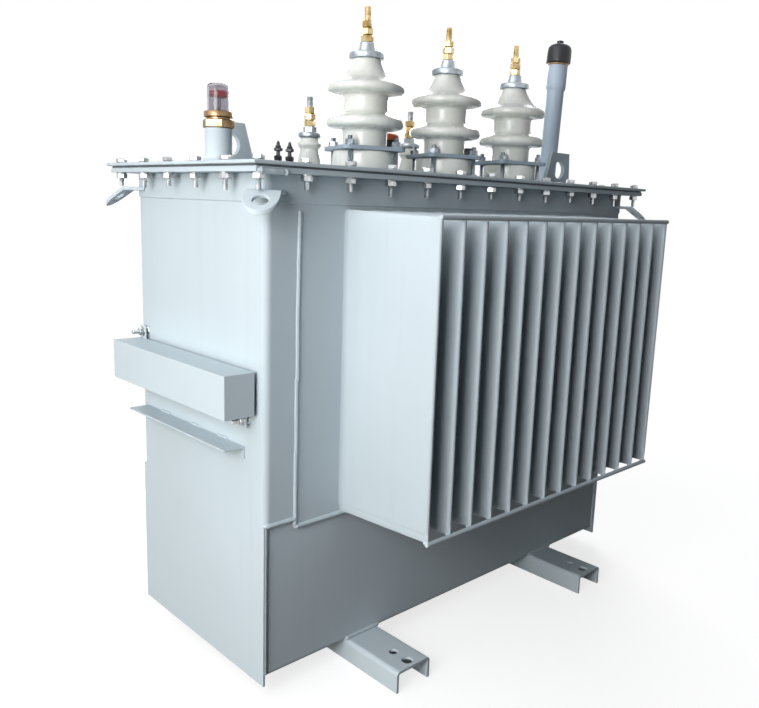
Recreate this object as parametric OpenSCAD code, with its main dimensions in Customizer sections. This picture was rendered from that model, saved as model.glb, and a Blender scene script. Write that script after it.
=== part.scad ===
// Three-phase oil-filled distribution transformer in a sealed corrugated tank.
// Lengths are in millimetres and +Z is up. X runs along the tank, and the fins
// of the front side point along -Y. The skids stand on Z = 0.

/* [Tank] */
// Length of the tank over its two end sheets
tank_length = 996; // [800:1:1200]
// Width of the tank over the returns of its end sheets
tank_width = 412; // [340:1:520]
// Thickness of the tank's sheets
sheet = 4; // [3:0.5:6]
// Thickness of the floor plate
floor_thickness = 8; // [7:0.5:12]
// Height of the lower walls' bottom edge above the floor's underside
wall_rise = 5; // [3:0.5:6]
// How far the end sheets hang below the floor's underside
end_drop = 14; // [6:1:24]
// Height of the lower wall
lower_wall_height = 263; // [200:1:320]
// Height of the tank from the floor's underside to the flange
tank_height = 824; // [700:1:1000]
// Outer radius of the bend at the tank's upright corners
corner_radius = 12; // [8:1:20]
// Length of the end sheets' returns along the long sides
return_length = 62; // [40:1:80]
// How far the fin panel laps down over the lower wall
panel_lap = 14; // [8:1:20]
// How far the lower wall laps up behind the end sheets' returns
wall_lap = 10; // [6:1:16]
// Height of the thick rim round the tank's top
rim_height = 42; // [30:1:60]
// Thickness of the rim
rim_thickness = 8; // [6:0.5:12]
// How far the rim stands proud of the walls
rim_proud = 2; // [1:0.5:3]

/* [Fins] */
// Number of fins on each long side
fin_count = 14; // [8:1:15]
// Spacing of the fins
fin_pitch = 51; // [40:1:52]
// How far a fin reaches out from its panel
fin_depth = 205; // [140:1:240]
// Thickness of a fin
fin_thickness = 9; // [7:0.5:14]
// Margin of the panel under a fin, at the fin's root
fin_margin_low = 1; // [0.5:0.5:10]
// Margin of the panel over a fin, at the fin's root
fin_margin_high = 8; // [2:0.5:16]
// How much higher a fin's bottom is at its tip than at its root
fin_rise = 11; // [6:0.5:16]
// How much lower a fin's top is at its tip than at its root
fin_fall = 5; // [4:0.5:12]
// Height of the pinched seams along a fin's top and bottom
fin_seam = 12; // [8:0.5:20]
// Thickness of the pinched seams
fin_seam_thickness = 4; // [2:0.5:6]
// Diameter of the rods welded across the fin tips
rod_diameter = 8; // [6:0.5:10]
// Distance of a rod's axis in from the fin tips
rod_inset = 6; // [5:0.5:10]
// How far a rod runs past the outer fins
rod_overhang = 6; // [4:0.5:12]

/* [Skids] */
// Distance between the centre lines of the two skids
skid_gauge = 550; // [500:1:660]
// Length of a skid
skid_length = 676; // [560:1:760]
// Width of a skid's channel
skid_width = 80; // [65:1:100]
// Height of a skid's channel
skid_height = 40; // [32:1:50]
// Wall of the channel
skid_wall = 5; // [4:0.5:7]
// Outer radius of the channel's bends
skid_radius = 8; // [7.5:0.5:12]
// Diameter of the outer hole at each end of a skid
skid_outer_hole = 20; // [16:0.5:22]
// Diameter of the inner hole at each end of a skid
skid_inner_hole = 16; // [12:0.5:20]
// Distance of the outer hole's centre from the skid's end
skid_hole_inset = 17; // [16:0.5:24]
// Distance between the two holes
skid_hole_gap = 35; // [30:1:50]

/* [Cover] */
// How far the flange reaches beyond the tank's ends
flange_reach = 37; // [34:1:50]
// How far the flange reaches beyond the tank's long sides
flange_side_reach = 30; // [24:1:46]
// How far the flange lies inside the rim's inner face
flange_inner_lip = 2; // [1:0.5:4]
// Thickness of the flange
flange_thickness = 8; // [5:0.5:12]
// Thickness of the cover's gasket
gasket_thickness = 3; // [2:0.5:8]
// How far the gasket stays in from the flange's outer edge
gasket_inset = 2; // [1:0.5:4]
// Thickness of the cover plate
cover_thickness = 5.5; // [5:0.5:12]
// How far the cover overhangs the flange
cover_overhang = 6; // [3:0.5:10]

/* [High voltage bushings] */
// Spacing of the high voltage bushings
hv_pitch = 210; // [180:1:240]
// Distance of their row in front of the tank's centre line
hv_offset = 96; // [90:1:106]
// Height of the porcelain body
hv_height = 190.5; // [160:0.5:240]
// Diameter of the sheds
hv_shed = 140; // [120:1:150]
// Height of the porcelain's foot under the clamp plate
hv_foot_height = 32; // [24:1:44]
// Diameter of the porcelain's foot
hv_foot = 114; // [100:1:120]
// Diameter of the porcelain's neck
hv_neck = 80; // [64:1:84]
// Diameter of the porcelain's top
hv_top = 52; // [44:1:60]
// Thickness of the gasket under the foot
hv_gasket = 4; // [3:0.5:6]
// Side of the square clamp plate
hv_clamp = 118; // [106:1:124]
// Thickness of the clamp plate
hv_clamp_thickness = 7; // [4:0.5:8]
// Clearance of the clamp plate round the neck
hv_clamp_clearance = 2; // [1:0.5:4]
// Radius of the clamp plate's corners
hv_clamp_radius = 12; // [6:1:16]
// Angle by which the clamp plates are turned
hv_clamp_turn = 20; // [0:1:45]
// Diameter of the metal cap
hv_cap = 62; // [54:1:70]
// Thickness of the metal cap
hv_cap_height = 11; // [10:1:18]
// Diameter of the collar under the nuts
hv_collar = 31; // [24:1:36]
// Height of the collar
hv_collar_height = 17; // [8:1:18]

/* [Low voltage bushings] */
// Number of low voltage bushings
lv_count = 4; // [3:1:4]
// Spacing of the low voltage bushings
lv_pitch = 137; // [110:1:140]
// Distance of their row behind the tank's centre line
lv_offset = 72; // [66:1:100]
// Height of the porcelain body
lv_height = 66; // [50:1:80]
// Diameter of the porcelain's foot
lv_foot = 50; // [44:1:60]
// Diameter of the porcelain's neck
lv_neck = 35; // [30:1:38]
// Diameter of the small shed
lv_shed = 47; // [42:1:52]
// Diameter of the metal cap
lv_cap = 44; // [38:1:50]
// Thickness of the metal cap
lv_cap_height = 10; // [8:1:14]
// Diameter of the collar under the nuts
lv_collar = 26; // [24:1:32]
// Height of the collar
lv_collar_height = 11; // [8:1:14]

/* [Terminal studs] */
// Diameter of the terminal studs
stud = 12; // [10:0.5:16]
// Width of the terminal nuts across their corners
stud_nut = 22; // [19:0.5:26]
// Height of the terminal nuts that stand on one another
stud_nut_stack = 37; // [24:1:44]
// Length of bare stud above the nuts of a high voltage bushing
hv_stud_length = 23; // [12:1:40]
// Length of bare stud above the nuts of a low voltage bushing
lv_stud_length = 19; // [12:1:30]

/* [Oil gauge] */
// Distance of the oil gauge from the tank's end sheet to its axis, negative is outside
gauge_inset = -1; // [-3:0.5:20]
// Distance of the oil gauge in front of the tank's centre line
gauge_offset = 78; // [76:0.5:86]
// Diameter of the gauge's neck
gauge_neck = 42; // [38:0.5:44]
// Height of the gauge's neck
gauge_neck_height = 51.5; // [40:0.5:80]
// Width of the gauge's hexagon across its corners
gauge_hex = 51; // [46:0.5:54]
// Height of the gauge's hexagon
gauge_hex_height = 13; // [10:0.5:18]
// Diameter of the ring over the hexagon
gauge_ring = 45; // [42:0.5:46]
// Height of the ring over the hexagon
gauge_ring_height = 12; // [10:0.5:18]
// Diameter of the gauge's window
gauge_window = 34; // [28:0.5:36]
// Height of the gauge's window
gauge_window_height = 42; // [34:1:60]
// Wall of the gauge's window
gauge_window_wall = 2; // [2:0.5:4]
// Diameter of the float's stem
float_stem = 8; // [5:0.5:10]
// Diameter of the float
float_disc = 28; // [16:0.5:29]
// Thickness of the float
float_height = 9; // [6:0.5:14]
// Height of the float's underside over the ring
float_rise = 22; // [12:1:26]

/* [Filler] */
// Distance of the filler pipe from the tank's end sheet to its axis
filler_inset = 18; // [16:0.5:40]
// Lean of the filler pipe away from the upright, in degrees
filler_lean = 3.2; // [0:0.1:5]
// Diameter of the filler pipe
filler_pipe = 42; // [34:0.5:46]
// Length of the filler pipe up to its socket
filler_pipe_length = 234; // [160:1:300]
// Diameter of the filler's socket
filler_socket = 48; // [47:0.5:54]
// Length of the filler's socket
filler_socket_length = 58; // [40:1:80]
// Diameter of the bore through the filler
filler_bore = 32; // [26:0.5:33]
// Diameter of the ring on the socket
filler_ring = 50; // [46:0.5:54]
// Height of the ring on the socket
filler_ring_height = 4.5; // [4:0.5:14]
// Diameter of the filler's cap
filler_cap = 60; // [54:0.5:66]
// Height of the filler's cap
filler_cap_height = 46.5; // [32:0.5:54]
// Radius of the cap's upper edge
filler_cap_radius = 12; // [6:0.5:16]
// Diameter of the knob on the cap
filler_knob = 18; // [12:0.5:24]
// Height of the knob on the cap
filler_knob_height = 8; // [5:0.5:12]

/* [Lifting lugs] */
// Thickness of a lifting lug
lug_thickness = 10; // [8:0.5:12]
// Height of a lifting lug
lug_height = 76; // [66:1:90]
// Length of a lifting lug along its foot
lug_foot = 96; // [90:1:104]
// Length of a lifting lug's top edge
lug_top = 68; // [64:1:80]
// Distance of a lug's outer end inside the tank's end sheet
lug_inset = 48; // [36:1:60]
// How much the lug's outer edge leans in
lug_outer_lean = 6; // [4:1:12]
// Distance of the left lug behind the tank's centre line
lug_left_row = 42; // [34:1:50]
// Distance of the right lug in front of the tank's centre line
lug_right_row = 84; // [76:1:92]
// Diameter of a lug's hole
lug_hole = 40; // [30:1:42]
// Height of the hole's centre over the cover
lug_hole_height = 37; // [32:1:42]
// Distance of the hole from the middle of the top edge, towards the tank's middle
lug_hole_shift = 3; // [0:0.5:8]

/* [Corner lugs] */
// Width of a corner lug
eye_width = 55; // [44:1:60]
// Thickness of a corner lug
eye_thickness = 6; // [4:0.5:8]
// Length of a corner lug's level part beyond the tank's corner
eye_level = 16; // [12:1:30]
// Run of a corner lug's sloping part
eye_slope = 39; // [28:1:44]
// Fall of a corner lug's sloping part over its run
eye_fall = 29; // [22:1:36]
// Distance of a corner lug's top below the flange
eye_drop = 25; // [20:1:30]
// Diameter of a corner lug's hole
eye_hole = 24; // [16:0.5:26]

/* [Document box] */
// Length of the document box
box_length = 382; // [300:1:386]
// Height of the document box
box_height = 70; // [50:1:90]
// Depth of the document box
box_depth = 54; // [40:1:70]
// Gap between the document box and the end sheet
box_gap = 7; // [5:0.5:10]
// Sheet of the document box
box_sheet = 2; // [1.5:0.5:3]
// Height of the box's underside over the ground
box_level = 491; // [480:1:520]
// Sideways shift of the box towards the rear
box_shift = 2; // [-6:0.5:10]
// Width of an ear of the box
ear_width = 20; // [16:0.5:24]
// Height of an ear beyond the box
ear_height = 24; // [20:0.5:28]
// Diameter of the studs that carry the box
box_stud = 8; // [6:0.5:10]
// Length of the studs that carry the box
box_stud_length = 30; // [20:1:40]
// Clearance of the studs in the ears
box_stud_clearance = 0.3; // [0.2:0.1:0.6]
// Height of a stud's axis beyond the box
box_stud_rise = 13; // [11:0.5:14]
// Distance of the lower stud's ear from the box's front end
lower_ear_inset = 20; // [10:1:60]
// Distance of the upper stud's ear from the box's rear end
upper_ear_inset = 2; // [1:0.5:40]

/* [Shelf] */
// Length of the shelf angle
shelf_length = 334; // [280:1:360]
// Depth of the shelf angle
shelf_depth = 38; // [30:1:46]
// Height of the angle's leg, which hangs down the end sheet
shelf_leg = 20; // [14:1:28]
// Thickness of the shelf angle
shelf_thickness = 3; // [2:0.5:5]
// Height of the shelf's top over the ground
shelf_level = 430; // [410:1:450]
// Sideways shift of the shelf towards the rear
shelf_shift = 16; // [0:0.5:30]

/* [Small fittings] */
// Diameter of the tap changer's body
tap_body = 52; // [46:1:56]
// Height of the tap changer's body
tap_body_height = 69; // [60:1:80]
// Diameter of the tap changer's cap
tap_cap = 66; // [57:1:70]
// Height of the tap changer's cap
tap_cap_height = 14; // [10:1:18]
// Distance of the tap changer to the left of the tank's middle
tap_offset = 80; // [70:1:90]
// Diameter of the thermometer pocket's tube
pocket_tube = 21; // [18:0.5:24]
// Height of the thermometer pocket's tube
pocket_tube_height = 52; // [40:1:56]
// Width of the pocket's hexagon cap across its corners
pocket_cap = 30; // [26:0.5:32]
// Height of the pocket's hexagon cap
pocket_cap_height = 20; // [14:0.5:24]
// Distance of the thermometer pocket to the right of the tank's middle
pocket_offset = 184; // [170:1:215]
// Diameter of the two small studs on the cover
vent_stud = 8; // [6:0.5:9]
// Height of the two small studs
vent_stud_height = 52; // [44:1:60]
// Width of the nuts on the small studs across their corners
vent_nut = 16; // [13:0.5:18]
// Height of the hexagon body under each small stud
vent_body_height = 26; // [20:1:28]
// Height of a nut on the small studs
vent_nut_height = 8; // [6:0.5:10]
// Height of the upper nut's underside over the cover
vent_nut_rise = 33; // [28:1:36]
// Distance between the two small studs
vent_pitch = 26; // [22:0.5:30]
// Distance of the two small studs from the tank's left end sheet to the middle between them
vent_offset = 208; // [196:0.5:246]
// Distance of the small studs behind the tank's centre line
vent_row = 39; // [20:0.5:60]

/* [Hidden] */
$fn = 48;
// Overrun of every cut past the faces that it leaves
over = 1;
// Outline of a high voltage porcelain: shares of the way from neck to shed, and of its height
hv_outline_shares = [
    [0, 0.349], [0.05, 0.36], [0.2, 0.366], [0.5, 0.37], [0.75, 0.375], [0.9, 0.384], [0.97, 0.4],
    [1, 0.42], [0.985, 0.438], [0.93, 0.456], [0.8, 0.468], [0.6, 0.481], [0.406, 0.492],
    [0.188, 0.506], [0.047, 0.521], [0, 0.54], [0, 0.655], [0.05, 0.668], [0.2, 0.676], [0.55, 0.683],
    [0.8, 0.69], [0.92, 0.7], [0.98, 0.714], [1, 0.732], [0.985, 0.746], [0.93, 0.76], [0.78, 0.775],
    [0.6, 0.789], [0.42, 0.803], [0.19, 0.826], [0.04, 0.849]
];
// Upper part of that outline: shares of the way from top to neck, and of its height
hv_shoulder_shares = [[0.78, 0.876], [0.5, 0.91], [0.22, 0.945], [0.05, 0.975], [0, 1]];
// Outline of a low voltage porcelain's skirt: shares of the way from neck to foot, and of its height
lv_skirt_shares = [[1, 0], [1, 0.11], [0.8, 0.3], [0.35, 0.5], [0.05, 0.62], [0, 0.68]];
// Outline of its shed: shares of the way from neck to shed, and of its height
lv_shed_shares = [[0.35, 0.72], [1, 0.78], [1, 0.83], [0.45, 0.88], [0.08, 0.92], [0, 1]];
// Diameter of a collar's upper rim as a share of its diameter at the foot
collar_taper_share = 0.8;
// Chamfer gap over each terminal nut as a share of the nut's height
nut_gap_share = 0.03;
// Angle of the corner lugs' sloping part
eye_angle = atan2(eye_fall, eye_slope);

// Heights of the levels that the pieces stand on
floor_level = skid_height;
wall_base = floor_level + wall_rise;
lower_wall_top = wall_base + lower_wall_height;
rim_top = floor_level + tank_height;
rim_base = rim_top - rim_height;
upper_wall_height = rim_base - lower_wall_top;
flange_top = rim_top + flange_thickness;
gasket_top = flange_top + gasket_thickness;
cover_top = gasket_top + cover_thickness;

// Half sizes of the tank and of the pieces that follow it
half_length = tank_length / 2;
half_width = tank_width / 2;
panel_half = half_length - return_length;
panel_base = lower_wall_top - panel_lap;
lower_face = half_width - sheet;
fin_root_low = panel_base + fin_margin_low;
fin_root_high = rim_base - fin_margin_high;
rod_level_low = fin_root_low + fin_rise;
rod_level_high = fin_root_high - fin_fall;
rod_length = (fin_count - 1) * fin_pitch + fin_thickness + 2 * rod_overhang;
rod_reach = half_width + fin_depth - rod_inset;
hv_base = cover_top + hv_gasket;
hv_clamp_base = hv_base + hv_foot_height;
hv_cap_base = hv_base + hv_height;
hv_terminal_base = hv_cap_base + hv_cap_height + hv_collar_height;
lv_cap_base = cover_top + lv_height;
lv_terminal_base = lv_cap_base + lv_cap_height + lv_collar_height;
nut_height = stud_nut_stack / 3;
gauge_x = gauge_inset - half_length;
gauge_fitting_base = cover_top + gauge_neck_height;
gauge_window_base = gauge_fitting_base + gauge_hex_height + gauge_ring_height;
filler_x = half_length - filler_inset;
filler_socket_base = filler_pipe_length;
filler_ring_base = filler_socket_base + filler_socket_length;
filler_cap_base = filler_ring_base + filler_ring_height;
box_face = half_length + box_gap;
box_top = box_level + box_height;

/* [Drawing] */
// Which piece to draw

// Sheet steel, painted pale grey
module paint() {
    color([0.74, 0.79, 0.82]) children();
}

// Rounded rectangle about the origin, from plain squares and circles
module rounded(length, width, radius) {
    square([length - 2 * radius, width], center = true);
    square([length, width - 2 * radius], center = true);
    for (x = [-1, 1], y = [-1, 1])
        translate([x * (length / 2 - radius), y * (width / 2 - radius)])
            circle(r = radius);
}

// Ring about the origin with square corners
module ring(length, width, inner_length, inner_width, height) {
    linear_extrude(height)
        difference() {
            square([length, width], center = true);
            square([inner_length, inner_width], center = true);
        }
}

// One end of the tank, as seen on the left
module end_wall() {
    translate([-half_length, -half_width, floor_level - end_drop])
        cube([sheet, tank_width, lower_wall_top - floor_level + end_drop]);
    translate([0, 0, lower_wall_top])
        linear_extrude(upper_wall_height)
            intersection() {
                difference() {
                    rounded(tank_length, tank_width, corner_radius);
                    rounded(tank_length - 2 * sheet, tank_width - 2 * sheet, corner_radius - sheet);
                }
                translate([-half_length, -half_width])
                    square([return_length, tank_width]);
            }
}

// Flat lower wall of the front side, with a strip that laps up behind the returns
module lower_wall() {
    translate([sheet - half_length, -lower_face, wall_base])
        cube([tank_length - 2 * sheet, sheet, lower_wall_height]);
    translate([corner_radius - half_length, -lower_face, lower_wall_top])
        cube([tank_length - 2 * corner_radius, sheet, wall_lap]);
}

// Flat panel of the front side that carries the fins
module panel() {
    translate([-panel_half, -half_width, panel_base])
        cube([2 * panel_half, sheet, rim_base - panel_base]);
}

// One rod across the front fin tips
module rod(level) {
    translate([-rod_length / 2, -rod_reach, level])
        rotate([0, 90, 0])
            cylinder(d = rod_diameter, h = rod_length);
}

// Plate of a fin with a round tip, its upper and lower edges drawn in by a margin
module fin_plate(thickness, margin) {
    intersection() {
        translate([0, 0, panel_base])
            linear_extrude(rim_base - panel_base) {
                translate([-thickness / 2, thickness / 2 - half_width - fin_depth])
                    square([thickness, fin_depth - thickness / 2]);
                translate([0, thickness / 2 - half_width - fin_depth])
                    circle(d = thickness);
            }
        translate([-thickness, 0, 0])
            rotate([90, 0, 90])
                linear_extrude(2 * thickness)
                    polygon([
                        [-half_width, fin_root_low + margin], [-half_width, fin_root_high - margin],
                        [-half_width - fin_depth, rod_level_high - margin],
                        [-half_width - fin_depth, rod_level_low + margin]
                    ]);
    }
}

// One fin of the front side, with pinched seams and seats for the rods
module fin() {
    difference() {
        union() {
            fin_plate(fin_thickness, fin_seam);
            fin_plate(fin_seam_thickness, 0);
        }
        rod(rod_level_low);
        rod(rod_level_high);
    }
}

// All the fins of the front side
module fins() {
    for (i = [0 : fin_count - 1])
        translate([(i - (fin_count - 1) / 2) * fin_pitch, 0, 0])
            fin();
}

// Both rods of the front side
module rods() {
    rod(rod_level_low);
    rod(rod_level_high);
}

// Channel with its web on top and holes at both ends
module skid() {
    difference() {
        translate([0, skid_length / 2, 0])
            rotate([90, 0, 0])
                linear_extrude(skid_length)
                    difference() {
                        union() {
                            translate([0, skid_height / 2])
                                rounded(skid_width, skid_height, skid_radius);
                            translate([-skid_width / 2, 0])
                                square([skid_width, skid_height / 2]);
                        }
                        translate([0, skid_height / 2 - skid_wall])
                            rounded(skid_width - 2 * skid_wall, skid_height, skid_radius - skid_wall);
                        translate([skid_wall - skid_width / 2, -over])
                            square([skid_width - 2 * skid_wall, skid_height / 2]);
                    }
        for (y = [-1, 1]) {
            translate([0, y * (skid_length / 2 - skid_hole_inset), skid_height / 2])
                cylinder(d = skid_outer_hole, h = skid_height);
            translate([0, y * (skid_length / 2 - skid_hole_inset - skid_hole_gap), skid_height / 2])
                cylinder(d = skid_inner_hole, h = skid_height);
        }
    }
}

// Thick rim round the tank's top
module rim() {
    translate([0, 0, rim_base])
        linear_extrude(rim_height)
            difference() {
                rounded(tank_length + 2 * rim_proud, tank_width + 2 * rim_proud, corner_radius + rim_proud);
                square([
                    tank_length + 2 * rim_proud - 2 * rim_thickness,
                    tank_width + 2 * rim_proud - 2 * rim_thickness
                ], center = true);
            }
}

// Place of a high voltage bushing on the cover
module at_hv(i, level) {
    translate([(i - 2) * hv_pitch, -hv_offset, level])
        children();
}

// Place of a low voltage bushing on the cover
module at_lv(i, level) {
    translate([(i - (lv_count + 1) / 2) * lv_pitch, lv_offset, level])
        children();
}

// Porcelain body with two sheds and a broad foot
module hv_porcelain(i) {
    neck = hv_neck / 2;
    reach = hv_shed / 2 - neck;
    crown = hv_top / 2;
    color([0.93, 0.92, 0.87])
        at_hv(i, hv_base)
            rotate_extrude()
                polygon(concat(
                    [[0, 0], [hv_foot / 2, 0], [hv_foot / 2, hv_foot_height], [neck, hv_foot_height]],
                    [for (p = hv_outline_shares) [neck + p[0] * reach, p[1] * hv_height]],
                    [for (p = hv_shoulder_shares) [crown + p[0] * (neck - crown), p[1] * hv_height]],
                    [[0, hv_height]]
                ));
}

// Square plate that clamps the porcelain's foot
module hv_clamp(i) {
    color([0.36, 0.41, 0.46])
        at_hv(i, hv_clamp_base)
            linear_extrude(hv_clamp_thickness)
                difference() {
                    rotate([0, 0, -hv_clamp_turn])
                        rounded(hv_clamp, hv_clamp, hv_clamp_radius);
                    circle(d = hv_neck + 2 * hv_clamp_clearance);
                }
}

// Three nuts on one another and the bare stud above them
module nuts_and_stud(bare_length) {
    cylinder(d = stud, h = stud_nut_stack + bare_length);
    for (i = [0 : 2])
        translate([0, 0, i * nut_height])
            cylinder(d = stud_nut, h = nut_height * (1 - nut_gap_share), $fn = 6);
}

// Metal cap and collar of a bushing
module cap_and_collar(cap, cap_height, collar, collar_height) {
    cylinder(d = cap, h = cap_height);
    translate([0, 0, cap_height])
        cylinder(d1 = collar, d2 = collar * collar_taper_share, h = collar_height);
}

// Nuts and stud of a high voltage bushing
module hv_terminal(i) {
    color([0.8, 0.66, 0.34])
        at_hv(i, hv_terminal_base)
            nuts_and_stud(hv_stud_length);
}

// Flat gasket under a high voltage bushing
module hv_foot_gasket(i) {
    at_hv(i, cover_top)
        cylinder(d = hv_foot, h = hv_gasket);
}

// Porcelain body of a low voltage bushing
module lv_porcelain(i) {
    neck = lv_neck / 2;
    skirt = lv_foot / 2 - neck;
    reach = lv_shed / 2 - neck;
    color([0.93, 0.92, 0.87])
        at_lv(i, cover_top)
            rotate_extrude()
                polygon(concat(
                    [[0, 0]],
                    [for (p = lv_skirt_shares) [neck + p[0] * skirt, p[1] * lv_height]],
                    [for (p = lv_shed_shares) [neck + p[0] * reach, p[1] * lv_height]],
                    [[0, lv_height]]
                ));
}

// Frame that leans with the filler pipe, about the pipe's foot
module leaning() {
    translate([filler_x, 0, cover_top])
        rotate([0, filler_lean, 0])
            children();
}

// Bent plate with a hole, at the tank's front left corner
module corner_lug() {
    bend = eye_level - eye_thickness * tan(eye_angle / 2);
    reach = eye_level + eye_slope;
    root = -2 * corner_radius;
    difference() {
        translate([-half_length - rim_proud, -half_width - rim_proud, rim_top - eye_drop])
            rotate([0, 0, -135])
                difference() {
                    intersection() {
                        translate([0, eye_width / 2, 0])
                            rotate([90, 0, 0])
                                linear_extrude(eye_width)
                                    polygon([
                                        [root, 0], [eye_level, 0], [reach, -eye_fall],
                                        [reach, -eye_fall - eye_thickness / cos(eye_angle)],
                                        [bend, -eye_thickness], [root, -eye_thickness]
                                    ]);
                        translate([0, 0, -eye_fall - 2 * eye_thickness])
                            linear_extrude(eye_fall + 3 * eye_thickness) {
                                translate([root, -eye_width / 2])
                                    square([reach - root - eye_width / 2, eye_width]);
                                translate([reach - eye_width / 2, 0])
                                    circle(d = eye_width);
                            }
                    }
                    translate([eye_level + eye_slope / 2, 0, -eye_fall / 2])
                        rotate([0, eye_angle, 0])
                            translate([0, 0, -eye_fall / 2])
                                cylinder(d = eye_hole, h = eye_fall);
                }
        translate([0, 0, rim_base])
            linear_extrude(rim_height)
                rounded(tank_length + 2 * rim_proud, tank_width + 2 * rim_proud, corner_radius + rim_proud);
    }
}

// Lifting lug on the left of the cover in the given row, sloping on the side of the tank's middle
module lifting_lug(row) {
    outer = lug_inset - half_length;
    hole_x = outer + lug_outer_lean + lug_top / 2 + lug_hole_shift;
    difference() {
        translate([0, row + lug_thickness / 2, 0])
            rotate([90, 0, 0])
                linear_extrude(lug_thickness)
                    polygon([
                        [outer, cover_top], [outer + lug_foot, cover_top],
                        [outer + lug_outer_lean + lug_top, cover_top + lug_height],
                        [outer + lug_outer_lean, cover_top + lug_height]
                    ]);
        translate([hole_x, row + lug_thickness, cover_top + lug_hole_height])
            rotate([90, 0, 0])
                cylinder(d = lug_hole, h = 2 * lug_thickness);
    }
}

// Ear of the document box, as a flat plate with a hole for its stud
module ear(y, low, high, axis_level) {
    translate([-box_face, y - ear_width / 2, low])
        difference() {
            cube([box_sheet, ear_width, high - low]);
            translate([-over, ear_width / 2, axis_level - low])
                rotate([0, 90, 0])
                    cylinder(d = box_stud + 2 * box_stud_clearance, h = box_sheet + 2 * over);
        }
}

upper_ear_y = box_shift + box_length / 2 - upper_ear_inset - ear_width / 2;
lower_ear_y = box_shift - box_length / 2 + lower_ear_inset + ear_width / 2;
upper_stud_level = box_top + box_stud_rise;
lower_stud_level = box_level - box_stud_rise;

module left_end_wall() {
    paint() end_wall();
}

module right_end_wall() {
    paint() mirror([1, 0, 0]) end_wall();
}

module front_lower_wall() {
    paint() lower_wall();
}

module rear_lower_wall() {
    paint() mirror([0, 1, 0]) lower_wall();
}

module front_panel() {
    paint() panel();
}

module rear_panel() {
    paint() mirror([0, 1, 0]) panel();
}

module front_fins() {
    paint() fins();
}

module rear_fins() {
    paint() mirror([0, 1, 0]) fins();
}

module fin_rods() {
    paint() {
        rods();
        mirror([0, 1, 0]) rods();
    }
}

module tank_floor() {
    paint()
        translate([sheet - half_length, sheet - lower_face, floor_level])
            cube([tank_length - 2 * sheet, 2 * (lower_face - sheet), floor_thickness]);
}

module tank_rim() {
    paint() rim();
}

module tank_flange() {
    inside = 2 * (rim_thickness - rim_proud + flange_inner_lip);
    paint()
        translate([0, 0, rim_top])
            ring(
                tank_length + 2 * flange_reach, tank_width + 2 * flange_side_reach,
                tank_length - inside, tank_width - inside, flange_thickness
            );
}

module cover_gasket() {
    inside = 2 * (rim_thickness - rim_proud + flange_inner_lip);
    reach = 2 * (flange_reach - gasket_inset);
    side_reach = 2 * (flange_side_reach - gasket_inset);
    color([0.2, 0.2, 0.21])
        translate([0, 0, flange_top])
            ring(
                tank_length + reach, tank_width + side_reach,
                tank_length - inside, tank_width - inside, gasket_thickness
            );
}

module cover() {
    reach = flange_reach + cover_overhang;
    side_reach = flange_side_reach + cover_overhang;
    paint()
        translate([-half_length - reach, -half_width - side_reach, gasket_top])
            cube([tank_length + 2 * reach, tank_width + 2 * side_reach, cover_thickness]);
}

module hv_gaskets() {
    color([0.1, 0.1, 0.1])
        for (i = [1 : 3])
            hv_foot_gasket(i);
}

module hv_caps() {
    color([0.72, 0.74, 0.76])
        for (i = [1 : 3])
            at_hv(i, hv_cap_base)
                cap_and_collar(hv_cap, hv_cap_height, hv_collar, hv_collar_height);
}

module lv_caps() {
    color([0.72, 0.74, 0.76])
        for (i = [1 : lv_count])
            at_lv(i, lv_cap_base)
                cap_and_collar(lv_cap, lv_cap_height, lv_collar, lv_collar_height);
}

module lv_terminals() {
    color([0.8, 0.66, 0.34])
        for (i = [1 : lv_count])
            at_lv(i, lv_terminal_base)
                nuts_and_stud(lv_stud_length);
}

module oil_gauge_neck() {
    paint()
        translate([gauge_x, -gauge_offset, cover_top])
            cylinder(d = gauge_neck, h = gauge_neck_height);
}

module oil_gauge_fitting() {
    color([0.75, 0.56, 0.3])
        translate([gauge_x, -gauge_offset, gauge_fitting_base]) {
            cylinder(d = gauge_hex, h = gauge_hex_height, $fn = 6);
            translate([0, 0, gauge_hex_height])
                cylinder(d = gauge_ring, h = gauge_ring_height);
        }
}

module oil_gauge_window() {
    color([0.85, 0.9, 0.92, 0.4])
        translate([gauge_x, -gauge_offset, gauge_window_base])
            difference() {
                cylinder(d = gauge_window, h = gauge_window_height);
                translate([0, 0, -gauge_window_wall])
                    cylinder(d = gauge_window - 2 * gauge_window_wall, h = gauge_window_height);
            }
}

module oil_gauge_float() {
    color([0.8, 0.15, 0.15])
        translate([gauge_x, -gauge_offset, gauge_window_base]) {
            cylinder(d = float_stem, h = float_rise);
            translate([0, 0, float_rise])
                cylinder(d = float_disc, h = float_height);
        }
}

module filler_tube() {
    paint()
        difference() {
            leaning() {
                translate([0, 0, -filler_pipe])
                    cylinder(d = filler_pipe, h = filler_pipe + filler_pipe_length);
                translate([0, 0, filler_socket_base])
                    cylinder(d = filler_socket, h = filler_socket_length);
            }
            leaning()
                cylinder(d = filler_bore, h = filler_ring_base + over);
            translate([filler_x - filler_pipe, -filler_pipe, cover_top - 2 * filler_pipe])
                cube(2 * filler_pipe);
        }
}

module filler_collar() {
    color([0.75, 0.56, 0.3])
        leaning()
            translate([0, 0, filler_ring_base])
                difference() {
                    cylinder(d = filler_ring, h = filler_ring_height);
                    translate([0, 0, -over])
                        cylinder(d = filler_bore, h = filler_ring_height + 2 * over);
                }
}

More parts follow.
